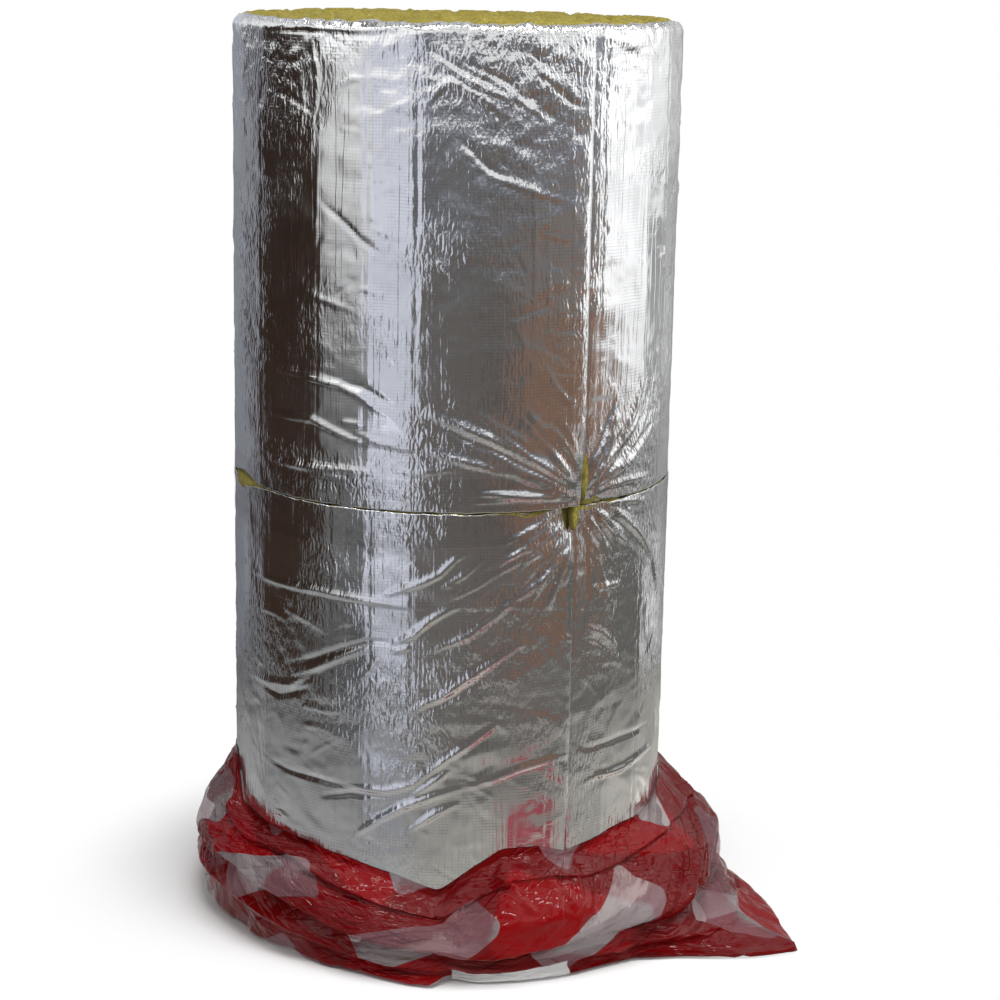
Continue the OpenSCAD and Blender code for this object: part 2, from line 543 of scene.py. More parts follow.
def slatFlats(angle, edges):
    # how far the flats lie inside the round outline, and how far a point is from the next slat edge
    v = wallSet
    marks = list(edges)
    while marks[-1] < edges[0] + 360 - v["slatPitch"] * v["slatLast"]:
        marks.append(marks[-1] + v["slatPitch"])
    marks = np.array(marks + [edges[0] + 360])
    turned = (angle - marks[0]) % 360 + marks[0]
    which = np.clip(np.searchsorted(marks, turned, side="right") - 1, 0, len(marks) - 2)
    half = np.radians((marks[which + 1] - marks[which]) / 2)
    middle = np.radians((marks[which + 1] + marks[which]) / 2)
    chord = np.cos(half) / np.cos(np.radians(turned) - middle)
    edge = (half - np.abs(np.radians(turned) - middle)) * rollRadius
    return (1 - chord) * rollRadius * v["slatFlat"], edge


def wallRadius(angle, back, slats):
    # radius of the outer turn at an angle, wound back from the free end by back
    v = wallSet
    flat, edge = slatFlats(angle, slats)
    groove = v["slatGroove"] * bell(edge, v["slatGrooveWidth"])
    lap = roll["lap"] * smooth(back, 360 - roll["lapArc"], 360)
    return rollRadius - flat - groove - lap


# Foil facing of one roll: one sheet round the outer turn, turned over the rim, with folds drawn from the
# taped joint. Metres and degrees.
foilSet = {
    "rows": 190,
    "lowArcRows": 6,
    "highArcRows": 9,
    "flapRows": 5,
    "frontColumns": 385,
    "frontShare": 0.7,
    "backColumns": 120,
    "backArc": (150, 300),
    "under": 4.0,
    "rimRound": 0.014,
    "rimTurn": 58.0,
    "footTurn": 60.0,
    "flap": 0.007,
    "flapRagged": 1.2,
    "flapDrop": 0.3,
    "gatherRim": 0.6,
    "gatherFlap": 0.4,
    "pleat": 0.0045,
    "pleatShare": 0.6,
    "pleatFar": 0.3,
    "pleatDeep": 0.0030,
    "pleatPitch": (3.4, 1.3),
    "rimSink": 0.004,
    "nearSide": (-0.2, 0.3),
    "jointGap": 0.0005,
    "jointGapReach": 0.03,
    "jointUneven": 0.0014,
    "jointReach": 0.008,
    "jointRound": 0.0016,
    "leftGap": 0.0085,
    "leftGapLower": 0.6,
    "leftGapReach": 0.09,
    "leftGapAngle": -159.0,
    "leftGapWidth": 8.0,
    "slit": 1.5,
    "slitHeight": 0.030,
    "slitUnder": 1.1,
    "dimple": 0.003,
    "dimpleWidth": 0.045,
    "cornerDip": 0.009,
    "cornerReach": 0.034,
    "cornerHeight": 0.034,
    "facetHeight": 0.0006,
    "rimCrumple": 1.8,
    "foldHeight": 1.05,
    "foldWidth": 1.2,
}

# Facets of the foil: size in mm, share of the height, stretch and lean.
foilFacets = [(19.0, 1.0, 1.7, -0.25), (7.98, 0.35, 1.3, 0.5)]

# Form of every fold: how it tapers, how thin its ends are, how much steeper one side is, and its crest.
ridgeSet = {
    "taper": 0.7,
    "thin": 0.3,
    "steep": 0.3,
    "crest": 1.2,
}

# Drawn folds: points as pixels of the photograph, then height and half width of the fold in mm. They are
# laid on the roll's wall where the camera sees them.
upperFolds = [
    ([(262, 30), (300, 31), (340, 34), (365, 37), (400, 33), (425, 30)], -0.9, 2.5),
    ([(290, 25), (350, 30), (400, 27), (425, 22)], 1.8, 3.5),
    ([(276, 92), (300, 103), (318, 118)], -1.2, 3.0),
    ([(310, 34), (316, 70), (315, 118)], 1.6, 3.5),
    ([(298, 60), (303, 100), (300, 140)], 1.2, 3.0),
    ([(368, 70), (385, 48), (405, 40)], 0.8, 3.0),
    ([(372, 118), (395, 108), (413, 100)], 0.8, 3.0),
    ([(335, 88), (352, 79), (366, 80)], 1.0, 3.0),
    ([(420, 42), (455, 68), (500, 92), (540, 118)], -2.6, 4.5),
    ([(430, 54), (470, 81), (520, 103), (548, 121)], 2.6, 4.5),
    ([(455, 58), (500, 79), (545, 108)], -2.2, 4.0),
    ([(445, 82), (480, 98), (515, 122)], 2.0, 4.0),
    ([(538, 75), (560, 92), (572, 104), (588, 108)], -2.6, 4.5),
    ([(530, 60), (548, 78), (566, 97)], 2.2, 4.0),
    ([(455, 135), (470, 150), (490, 170), (510, 182)], -1.8, 4.0),
    ([(470, 165), (495, 178), (530, 191), (575, 205)], 1.6, 3.5),
    ([(425, 108), (440, 90), (450, 82), (470, 88)], 2.0, 4.0),
    ([(318, 200), (340, 220), (362, 242), (388, 260)], -1.5, 3.5),
    ([(372, 230), (386, 234), (402, 241)], 1.2, 3.0),
    ([(300, 289), (322, 300), (355, 312)], 1.6, 3.5),
    ([(358, 290), (370, 291), (384, 299)], 1.2, 3.0),
    ([(418, 270), (440, 264), (452, 276), (463, 291)], 1.4, 3.5),
    ([(275, 369), (298, 374), (318, 381), (338, 386), (358, 396), (375, 409), (394, 420)], 2.6, 4.5),
    ([(342, 383), (362, 388), (382, 401), (400, 410)], -1.8, 4.0),
    ([(424, 413), (445, 421), (470, 432), (492, 441), (515, 452), (535, 466), (556, 479)], 3.4, 6.5),
    ([(432, 424), (452, 433), (476, 445), (502, 456), (530, 473)], -2.2, 4.5),
    ([(266, 410), (285, 416), (312, 420), (330, 430), (350, 440), (382, 447)], 2.6, 4.5),
    ([(338, 422), (350, 424), (363, 425)], 1.8, 3.5),
    ([(350, 430), (372, 441), (402, 449), (430, 451)], 2.2, 4.5),
    ([(420, 448), (452, 460), (480, 467), (514, 477)], 3.0, 5.5),
    ([(262, 455), (285, 463), (310, 468), (342, 470), (388, 475)], 2.8, 4.5),
    ([(388, 470), (420, 474), (466, 469)], 2.0, 4.0),
    ([(302, 472), (322, 475), (346, 479)], 1.6, 3.5),
    ([(545, 424), (560, 438), (572, 455), (579, 471)], 2.6, 4.5),
    ([(561, 418), (572, 440), (580, 462)], 2.2, 4.0),
    ([(524, 408), (545, 432), (561, 453)], 1.8, 4.0),
    ([(548, 454), (560, 466), (571, 475)], 2.6, 4.5),
    ([(528, 455), (545, 470), (558, 481)], 2.4, 4.5),
    ([(470, 410), (495, 425), (520, 440), (546, 463)], 1.6, 4.0),
    ([(545, 365), (556, 388), (568, 402), (589, 409)], 2.0, 3.5),
    ([(592, 486), (612, 462), (628, 440), (640, 410), (648, 375), (652, 340)], 2.8, 4.5),
    ([(600, 486), (622, 465), (640, 440), (650, 415), (655, 385)], 2.6, 4.5),
    ([(618, 481), (635, 458), (650, 440), (658, 420)], 2.2, 4.0),
    ([(593, 470), (605, 450), (618, 430), (628, 400)], 2.0, 4.0),
    ([(601, 433), (608, 431), (614, 434)], 1.6, 3.0),
    ([(606, 53), (625, 45), (650, 52), (664, 60)], 2.4, 4.5),
    ([(606, 64), (640, 52), (662, 45)], -2.2, 4.0),
    ([(606, 38), (630, 42), (660, 48)], 2.0, 4.0),
    ([(615, 76), (640, 65), (655, 75)], 1.4, 3.5),
    ([(603, 216), (618, 245), (612, 290)], -1.6, 4.0),
    ([(533, 24), (533, 120), (534, 200), (537, 330)], 1.3, 2.0),
    ([(572, 62), (573, 120), (574, 200), (573, 340)], 1.2, 2.0),
    ([(597, 24), (598, 100), (597, 200), (598, 330)], 1.3, 2.0),
    ([(548, 180), (549, 260), (550, 340)], 0.9, 2.0),
    ([(366, 40), (367, 120), (366, 200), (368, 250)], -1.2, 2.0),
    ([(417, 60), (417, 150), (418, 250)], -1.1, 2.0),
    ([(316, 118), (316, 200), (315, 300)], 1.1, 2.0),
    ([(628, 120), (636, 128), (640, 140)], 1.0, 3.0),
]
lowerFolds = [
    ([(589, 514), (598, 528), (611, 543)], 2.4, 4.0),
    ([(593, 506), (606, 516), (622, 535), (633, 549)], 2.4, 4.0),
    ([(605, 503), (620, 513), (640, 531), (655, 560), (659, 600)], 2.6, 4.5),
    ([(613, 506), (630, 520), (648, 546)], 2.0, 4.0),
    ([(585, 524), (592, 534), (597, 548)], 1.8, 3.5),
    ([(571, 546), (560, 560), (548, 575), (530, 590), (510, 603)], 2.8, 5.0),
    ([(520, 596), (490, 620), (470, 635), (445, 645), (428, 652)], 2.6, 5.0),
    ([(567, 546), (550, 560), (538, 574), (522, 590)], -2.2, 4.5),
    ([(562, 543), (540, 553), (520, 562), (498, 573)], 2.0, 4.0),
    ([(573, 556), (567, 575), (560, 588)], 2.0, 4.0),
    ([(550, 545), (525, 550), (500, 560), (478, 573)], 1.8, 4.0),
    ([(250, 570), (280, 583), (320, 592), (360, 600), (400, 606), (432, 607)], 3.0, 4.5),
    ([(440, 608), (500, 607), (575, 606)], 1.0, 3.0),
    ([(378, 598), (400, 591), (425, 583), (440, 576), (456, 560), (476, 550)], 2.8, 4.5),
    ([(440, 591), (465, 576), (486, 558)], 2.0, 4.0),
    ([(446, 601), (476, 588), (502, 570)], 1.8, 4.0),
    ([(283, 665), (310, 660), (340, 650), (368, 642), (396, 643)], -2.4, 4.2),
    ([(290, 676), (315, 668), (345, 656), (372, 648)], 2.6, 5.0),
    ([(392, 645), (415, 635), (430, 622), (446, 613), (462, 606)], 3.0, 5.0),
    ([(390, 652), (402, 650), (414, 647)], 1.8, 3.5),
    ([(250, 672), (268, 682), (290, 685), (310, 674)], 2.4, 4.5),
    ([(262, 685), (278, 695), (295, 692), (312, 688)], -2.6, 4.5),
    ([(406, 716), (425, 705), (442, 698), (460, 685), (480, 672), (505, 656), (532, 639)], 3.0, 5.0),
    ([(430, 712), (460, 695), (490, 674)], -1.8, 4.5),
    ([(268, 758), (290, 771), (320, 780), (352, 788)], -2.0, 3.8),
    ([(345, 786), (385, 792), (412, 786), (430, 776)], 2.2, 4.0),
    ([(412, 782), (432, 772), (447, 760), (470, 745), (502, 722)], 2.6, 4.5),
    ([(412, 797), (430, 786), (452, 770)], 2.2, 4.0),
    ([(320, 796), (350, 794), (386, 797)], -1.6, 4.0),
    ([(352, 837), (380, 820), (405, 807), (436, 797), (466, 788)], 2.8, 5.0),
    ([(460, 790), (490, 782), (520, 770), (545, 762), (573, 755)], 2.0, 4.0),
    ([(408, 832), (435, 815), (462, 803)], 2.6, 4.5),
    ([(582, 752), (600, 748), (625, 738), (650, 724)], -2.2, 4.0),
    ([(581, 789), (600, 778), (625, 770), (640, 757), (655, 741)], 2.8, 4.5),
    ([(588, 628), (605, 634), (622, 648)], 2.0, 4.5),
    ([(590, 640), (600, 642), (614, 652)], -1.8, 4.0),
    ([(594, 590), (610, 588), (626, 584)], 1.8, 3.5),
    ([(280, 606), (310, 622), (331, 636)], 1.4, 3.5),
    ([(254, 605), (272, 612), (290, 622)], 1.4, 3.5),
    ([(300, 705), (330, 712), (350, 709)], 1.2, 3.0),
    ([(356, 682), (370, 672), (378, 655)], 1.2, 3.0),
]

# Fans of fine folds from the pinch at the joint: from and to direction in degrees, count, length in mm.
upperFans = [(126, 172, 22, 140), (18, 72, 26, 130)]
lowerFans = [(195, 255, 22, 130), (285, 352, 28, 110)]
pinch = (586, 500)
fanSet = {
    "height": 2.0,
    "heightSpread": (0.4, 1.5),
    "width": 3.8,
    "stray": 2.0,
    "bend": 0.15,
    "near": (9, 34),
    "far": (0.3, 1.0),
    "steps": 5,
}

# Long folds on the far side, which the photograph doesn't show, in mm.
looseSet = {
    "count": 26,
    "turn": (135, 310),
    "upShare": (0.08, 0.95),
    "length": (50, 170),
    "lean": (0.1, 0.45),
    "bow": 7.0,
    "height": (1.2, 2.8),
    "width": (3.5, 6.0),
}

# Small creases everywhere, closer together towards the top, in mm.
crumpleSet = {
    "count": 900,
    "upShare": (1.0, 0.75),
    "leans": (0.0, math.pi / 2, -0.6),
    "leanOdds": (0.5, 0.2, 0.3),
    "leanSpread": 0.35,
    "length": (2.0, 12.0),
    "shortest": 8.0,
    "bow": 1.5,
    "height": 0.42,
    "heightSpread": (0.2, 1.0),
    "width": 3.0,
}

# Patches of the foil: crumpled at the top of the front, smooth right of the seam (aside) and left of the
# middle (screen) and at the foot. Angles and half widths in degrees, heights in mm.
patchSet = {
    "frontAngle": -72.0,
    "frontWidth": 24.0,
    "frontHeight": (820, 960),
    "frontElsewhere": 0.35,
    "roughWidth": 26.0,
    "roughHeight": (830, 960),
    "asideAngle": -37.0,
    "asideWidth": 15.0,
    "asideFrom": (560, 640),
    "asideTo": (920, 990),
    "asideSmooth": 0.4,
    "screenAngle": -119.0,
    "screenWidth": 12.0,
    "screenHeight": (560, 970, 60),
    "screenSmooth": 0.7,
    "footHeight": (150, 300),
    "footSmooth": 0.4,
}


def seenOnRoll(px, py):
    # angle and height in mm of the place on the roll's wall that shows at a pixel of the photograph
    perPixel = cameraSet["sensor"] / cameraSet["lens"] / cameraSet["pixels"]
    half = cameraSet["pixels"] / 2
    start = camera.matrix_world.translation
    aim = camera.matrix_world.to_3x3() @ Vector(((px - half) * perPixel, (half - py) * perPixel, -1))
    a = aim.x**2 + aim.y**2
    b = start.x * aim.x + start.y * aim.y
    c = start.x**2 + start.y**2 - rollRadius**2
    spot = start + aim * (-b - math.sqrt(max(b * b - a * c, 0))) / a
    return math.degrees(math.atan2(spot.y, spot.x)), spot.z * 1000


def onSheet(pixels, seam):
    # pixels to arc and height in mm on the sheet, which is wound back from its seam
    spots = [seenOnRoll(*pixel) for pixel in pixels]
    wound = -360 if np.mean([angle for angle, z in spots]) > seam else 0
    return [(math.radians(angle + wound) * rollRadius * 1000, z) for angle, z in spots]


def ridge(along, up, points, height, width):
    # one fold over the sheet: a crest along the points, steep on one side and tapered to both ends
    v = ridgeSet
    lengths = np.concatenate([[0], np.cumsum(np.hypot(*np.diff(points, axis=0).T))])
    best = np.full(along.shape, np.inf)
    share = np.zeros(along.shape)
    side = np.zeros(along.shape)
    for p, q, start in zip(points[:-1], points[1:], lengths[:-1]):
        step = q - p
        size = np.hypot(*step)
        t = np.clip(((along - p[0]) * step[0] + (up - p[1]) * step[1]) / size**2, 0, 1)
        gap = np.hypot(along - p[0] - t * step[0], up - p[1] - t * step[1])
        near = gap < best
        best = np.where(near, gap, best)
        share = np.where(near, (start + t * size) / lengths[-1], share)
        side = np.where(near, np.sign((along - p[0]) * step[1] - (up - p[1]) * step[0]), side)
    taper = np.sin(np.pi * share) ** v["taper"]
    wide = width * (v["thin"] + (1 - v["thin"]) * taper) * (1 - v["steep"] * side)
    return height * taper * np.maximum(0, 1 - best / wide) ** v["crest"]


def addRidge(lift, along, up, points, height, width):
    # adds one fold to the part of the sheet that it touches
    spots = np.array(points)
    margin = 2 * width
    low, high = spots.min(axis=0) - margin, spots.max(axis=0) + margin
    column = np.flatnonzero((along[0] > low[0]) & (along[0] < high[0]))
    row = np.flatnonzero((up[:, 0] > low[1]) & (up[:, 0] < high[1]))
    if len(column) < 2 or len(row) < 2:
        return
    part = (slice(row[0], row[-1] + 1), slice(column[0], column[-1] + 1))
    lift[part] += ridge(along[part], up[part], spots, height, width) / 1000


def fanFolds(v, fans, dice):
    made = []
    angle, height = seenOnRoll(*pinch)
    centre = np.array([math.radians(angle) * rollRadius * 1000, height])
    for start, end, count, length in fans:
        # what points right lies at the far end of the sheet
        wound = -2 * math.pi * rollRadius * 1000 if math.cos(math.radians(start)) > 0 else 0
        for turn in np.radians(np.linspace(start, end, count) + dice.normal(0, v["stray"], count)):
            bend = dice.normal(0, v["bend"])
            near = dice.uniform(*v["near"])
            far = near + length * dice.uniform(*v["far"])
            steps = np.linspace(near, far, v["steps"])
            turns = turn + bend * (steps - near) / length
            spots = centre + steps[:, None] * np.stack([np.cos(turns), np.sin(turns)], axis=-1)
            made.append(spots + [wound, 0])
    return made


def shortFold(middle, length, lean, bow, dice):
    reach = length / 2 * np.array([math.cos(lean), math.sin(lean)])
    return [middle - reach, middle + dice.normal(0, bow, 2), middle + reach]


def addLooseFolds(v, lift, along, up, base, seam, dice):
    for _ in range(v["count"]):
        middle = np.array([
            np.radians(seam - dice.uniform(*v["turn"])) * rollRadius * 1000,
            (base + matWidth * dice.uniform(*v["upShare"])) * 1000,
        ])
        points = shortFold(middle, dice.uniform(*v["length"]), dice.normal(*v["lean"]), v["bow"], dice)
        height = dice.choice([-1, 1, 1]) * dice.uniform(*v["height"])
        addRidge(lift, along, up, points, height, dice.uniform(*v["width"]))


def addCrumples(v, lift, along, up, base, dice):
    for _ in range(v["count"]):
        middle = np.array([
            dice.uniform(along[0, -1], along[0, 0]),
            (base + matWidth * (dice.beta(*v["upShare"]) if base else dice.uniform())) * 1000,
        ])
        lean = dice.choice(v["leans"], p=v["leanOdds"]) + dice.normal(0, v["leanSpread"])
        points = shortFold(middle, dice.gamma(*v["length"]) + v["shortest"], lean, v["bow"], dice)
        addRidge(lift, along, up, points, v["height"] * dice.normal(*v["heightSpread"]), v["width"])


def foilColumns(v):
    # places along the sheet, closer together on the side with the drawn folds
    front = v["frontColumns"]
    first = int(front * v["frontShare"])
    backFrom, backTo = v["backArc"]
    return np.concatenate([
        np.linspace(0, backFrom, first, endpoint=False),
        np.linspace(backFrom, backTo, v["backColumns"], endpoint=False),
        np.linspace(backTo, 360, front - first),
    ])


def foilRows(v, upper):
    # inset, height and share of the turned-over rim of the rows, from the lower edge to the upper one
    lowRound, highRound = (v["jointRound"], v["rimRound"]) if upper else (v["rimRound"], v["jointRound"])
    lowTurn = math.radians(v["footTurn"])
    highTurn = math.radians(v["rimTurn"] if upper else v["footTurn"])
    lowArc = np.linspace(lowTurn, 0, v["lowArcRows"])[:-1]
    highArc = np.linspace(0, highTurn, v["highArcRows"])[1:]
    flap = np.linspace(0, 1, v["flapRows"])[1:] if upper else np.zeros(0)
    wallRows = v["rows"] - len(lowArc) - len(highArc) - len(flap)
    wall = np.linspace(lowRound, matWidth - highRound, wallRows)
    rimIn = highRound * (1 - math.cos(highTurn))
    rimUp = matWidth - highRound * (1 - math.sin(highTurn))
    inset = np.concatenate([
        lowRound * (1 - np.cos(lowArc)), 0 * wall, highRound * (1 - np.cos(highArc)), rimIn + 0 * flap,
    ])
    highEdge = matWidth - highRound * (1 - np.sin(highArc))
    height = np.concatenate([lowRound * (1 - np.sin(lowArc)), wall, highEdge, rimUp + 0 * flap])
    turned = np.concatenate([0 * lowArc, 0 * wall, highArc / highTurn, 1 + 0 * flap])
    loose = np.concatenate([0 * lowArc, 0 * wall, 0 * highArc, flap])
    return inset, height, turned * upper, loose


def randomWave(angle, pitch, dice):
    # a random line round the sheet, from past its inner end to past its seam
    spots = np.arange(-440, 40, pitch)
    return np.interp(angle, spots, dice.uniform(0, 1, len(spots))) - 0.5


def foilLift(v, base, seam, angle, along, up, folds, fans, dice):
    # height of folds, creases, facets and the dimple at the pinch over the foil's wall
    lift = np.zeros(angle.shape)
    for points, tall, wide in folds:
        addRidge(lift, along, up, onSheet(points, seam), tall * v["foldHeight"], wide * v["foldWidth"])
    for points in fanFolds(fanSet, fans, dice):
        tall = fanSet["height"] * dice.uniform(*fanSet["heightSpread"])
        addRidge(lift, along, up, points, tall, fanSet["width"])
    addLooseFolds(looseSet, lift, along, up, base, seam, dice)
    addCrumples(crumpleSet, lift, along, up, base, dice)
    front = bell(angle, patchSet["frontWidth"], patchSet["frontAngle"]) + patchSet["frontElsewhere"]
    rim = smooth(up, *patchSet["frontHeight"]) * front if base else 0
    strength = v["facetHeight"] * (1 + v["rimCrumple"] * rim)
    for size, share, stretch, lean in foilFacets:
        lift += strength * share * facets(along, up, size, stretch, lean, dice)
    for side in (seam, seam - 360):
        centre = math.radians(side) * rollRadius * 1000
        fromPinch = np.hypot(along - centre, up - matWidth * 1000) / 1000
        lift -= v["dimple"] * bell(fromPinch, v["dimpleWidth"])
    return lift


def foilRough(v, angle, up, turned):
    # how rough the foil's fine crinkle is
    rough = smooth(up, *v["roughHeight"]) * bell(angle, v["roughWidth"], v["frontAngle"]) + turned[:, None]
    fromAside = ((angle - v["asideAngle"]) % 360 + 180) % 360 - 180
    aside = bell(fromAside, v["asideWidth"]) * (1 - smooth(up, *v["asideTo"])) * smooth(up, *v["asideFrom"])
    screen = bell(angle, v["screenWidth"], v["screenAngle"]) * within(up, *v["screenHeight"])
    foot = 1 - smooth(up, *v["footHeight"])
    return rough - np.maximum.reduce([
        v["footSmooth"] * foot, v["asideSmooth"] * aside, v["screenSmooth"] * screen,
    ])


def makeFoil(name, node, base, seam, slats, folds, fans, seed):
    v = foilSet
    dice = np.random.default_rng(seed)
    upper = base > 0
    inset, height, turned, loose = foilRows(v, upper)
    share = foilColumns(v) / 360
    fromJoint = np.abs(height - (0 if upper else matWidth))
    slit = bell(fromJoint, v["slitHeight"])
    start = v["slit"] * slit
    end = 360 + v["under"] * (1 - v["slitUnder"] * slit)
    back = start[:, None] + share[None, :] * (end - start)[:, None]
    angle = seam - back
    # the foil's edge at the joint draws away from its fellow, most of all on the left
    leftGap = v["leftGap"] * bell(angle, v["leftGapWidth"], v["leftGapAngle"])
    leftGap = leftGap * (1 if upper else -v["leftGapLower"])
    jointGap = v["jointGap"] * (1 if upper else -1)
    z = height[:, None] + leftGap * (1 - smooth(fromJoint, 0.0, v["leftGapReach"]))[:, None] + base
    z = z + jointGap * (1 - smooth(fromJoint, 0.0, v["jointGapReach"]))[:, None]
    # the rim is gathered in small pleats, and its loose edge is ragged
    gathered = (turned * v["gatherRim"] + loose * v["gatherFlap"])[:, None]
    coarse, fine, deep, ragged = (randomWave(angle, v["pleatPitch"][kind], dice) for kind in (0, 1, 1, 1))
    loose = v["flap"] * loose[:, None] * (1 + v["flapRagged"] * ragged)
    rimTurn = math.radians(v["rimTurn"])
    near = smooth(np.cos(np.radians(angle + 90)), *v["nearSide"])
    pleats = v["pleat"] * v["pleatShare"] * (coarse + fine) * gathered
    z = z + pleats * (v["pleatFar"] + (1 - v["pleatFar"]) * near)
    z = z + loose * math.cos(rimTurn) * v["flapDrop"] * (near - 1) - v["rimSink"] * (1 - near) * gathered
    # the edges at the joint are a little uneven
    z = z + v["jointUneven"] * fine * bell(fromJoint, v["jointReach"])[:, None]
    inset = inset[:, None] + loose * math.sin(rimTurn) + v["pleatDeep"] * deep * gathered
    along = np.radians(angle) * rollRadius * 1000
    up = z * 1000
    lift = foilLift(v, base, seam, angle, along, up, folds, fans, dice)
    # the free end dips, and the lower one's corner at the joint bends in further
    corner = bell(fromJoint, v["cornerHeight"])[:, None] * (0 if upper else 1)
    fromEnd = (back - start[:, None]) * math.radians(1) * rollRadius
    lift *= 1 - corner * np.exp(-fromEnd / v["cornerReach"])
    dip = wallSet["edgeDip"] * (1 - slit[:, None] * (1 if upper else 0)) + v["cornerDip"] * corner
    lift -= dip * np.exp(-fromEnd / (wallSet["edgeDipWidth"] + v["cornerReach"] * corner))
    points = onRound(wallRadius(angle, back, slats) - inset + lift, np.radians(angle), z)
    place = np.stack([along / 1000, up / 1000, foilRough(patchSet, angle, up, turned)], axis=-1)
    piece = gridMesh(name, points, place, flip=True)
    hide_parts(node)
    return piece


# Finish of the foil. Scales are per metre, heights in mm.
foilLookSet = {
    "silver": rgb(0.94, 0.945, 0.955),
    "dullSilver": rgb(0.88, 0.885, 0.895),
    "dullScale": 14.0,
    "dullFrom": (0.35, 0.75),
    "roughness": 0.13,
    "dullRoughness": 0.07,
    "wave": (16.0, 1.3),  # scale, height
    "wide": ((1.2, 0.8, 0.0), 38.0, 1.1),  # stretch, scale, height
    "fine": ((1.9, 0.55, 0.0), 110.0, 0.8),
    "tiny": ((1.3, 0.8, 0.0), 260.0, 0.35),
    "hairs": ((1.3, 0.05, 0.0), 60.0, 0.09),
    "drift": (60.0, 0.005),  # scale, how far in m
    "crumpleScale": 8.0,
    "crumpleFrom": (0.40, 0.66),
    "crumple": 0.7,
    "crumpleBase": 0.25,
    "crumpleLeast": 0.06,
    "threadPitch": (0.0036, 0.0034),  # across, upward, in m
    "threadSharp": 5.0,
    "threadAcross": 0.7,
    "threadDrift": (20.0, 0.003),
    "threadScale": 25.0,
    "threadFrom": (0.30, 0.70),
    "threadHeight": 0.032,
    "threadColour": rgb(0.66, 0.665, 0.67),
    "threadShow": 0.45,
}


def threadLines(place, pitch, sharp):
    return ((place * (2 * math.pi / pitch)).sine() * 0.5 + 0.5) ** sharp


def foilFinish(v):
    f = Finish("foil")
    at = f.place("place")
    rough = f.split(at).also("Z")
    moved = f.drift(at, *v["drift"])
    patches = f.flatNoise(at, v["crumpleScale"]).ease(*v["crumpleFrom"]) * v["crumple"]
    crumpled = (patches + rough + v["crumpleBase"]).most(v["crumpleLeast"])
    wide, fine = (
        f.flatCells(f.stretch(moved, stretch), scale) * tall
        for stretch, scale, tall in (v["wide"], v["fine"])
    )
    tiny = f.flatNoise(f.stretch(moved, v["tiny"][0]), v["tiny"][1], 1.0) * v["tiny"][2]
    wave = f.flatNoise(at, v["wave"][0]) * v["wave"][1]
    hairs = f.creases(at, 0.0, *v["hairs"][:2]) * v["hairs"][2]
    # threads of the scrim under the foil
    swayed = f.split(f.drift(at, *v["threadDrift"]))
    across = threadLines(swayed, v["threadPitch"][0], v["threadSharp"]) * v["threadAcross"]
    upward = threadLines(swayed.also("Y"), v["threadPitch"][1], v["threadSharp"])
    threads = across.most(upward) * f.flatNoise(at, v["threadScale"], 3.0).ease(*v["threadFrom"])
    height = wave + (wide + fine + tiny) * crumpled + threads * v["threadHeight"] + hairs
    dull = f.flatNoise(at, v["dullScale"], 3.0).ease(*v["dullFrom"])
    silver = f.blend(dull, v["silver"], v["dullSilver"])
    return f.principled({
        "Base Color": f.blend(threads * v["threadShow"], silver, v["threadColour"]),
        "Metallic": 1.0,
        "Roughness": dull * v["dullRoughness"] + v["roughness"],
        "Normal": f.bump(height, 0.001),
    })


foilLook = foilFinish(foilLookSet)
upperFoil = makeFoil(
    "upperFoil", "upper_foil", matWidth, roll["upperSeam"], upperSlats, upperFolds, upperFans, 11
)
lowerFoil = makeFoil(
    "lowerFoil", "lower_foil", 0.0, roll["lowerSeam"], lowerSlats, lowerFolds, lowerFans, 23
)
for piece in (upperFoil, lowerFoil):
    dress(piece, foilLook)
print("foil made:", len(upperFoil.data.polygons) + len(lowerFoil.data.polygons), "faces")


# Wool of one roll: the mat as one wound ribbon, domed at both ends, with cracks between its slats.
woolSet = {
    "start": 1.2,
    "step": 0.006,
    "fineStep": 0.5,
    "mostTurns": 8,
    "acrossRows": 11,
    "gap": 0.0022,
    "climb": 150.0,
    "dome": 0.009,
    "domePower": 2.4,
    "outerPower": 7.0,
    "topDrop": 0.002,
    "jointDome": 0.0003,
    "lip": 0.0032,
    "lipHeight": 0.010,
    "slat": 0.056,
    "crack": 0.005,
    "crackWidth": 0.0055,
    "rough": 0.0012,
    "loft": 0.0007,
    "loftSteps": 25,
    "behindFoil": 0.0045,
    "endDip": 0.015,
    "endReach": 8.0,
    "secondDip": 0.65,
    "thinEnd": 0.004,
}


def turnsIn(back):
    share = np.clip((back % 360) / woolSet["climb"], 0, 1)
    return np.floor(back / 360) + share * share * (3 - 2 * share)


def gapRadius(back):
    # radius of the gap under the turn, wound back from the free end by back
    turns = turnsIn(back)
    return rollRadius - roll["turn"] * turns - roll["lap"] * np.clip(1 - turns, 0, 1)


def woundAngles(v):
    # angles along the ribbon in even steps of its length, to where the last turn thins out at the core
    fine = np.arange(v["start"], 360 * v["mostTurns"], v["fineStep"])
    outer = np.where(fine < 360, rollRadius, gapRadius(np.maximum(fine - 360, 0)))
    inner = np.maximum(gapRadius(fine), roll["coreRadius"])
    last = fine[np.flatnonzero(outer - inner > v["thinEnd"] + v["gap"])[-1]]
    length = np.concatenate([[0], np.cumsum(np.radians(v["fineStep"]) * outer[:-1])])
    total = np.interp(last, fine, length)
    along = np.linspace(0, total, int(total / v["step"]))
    return np.interp(along, length, fine), along


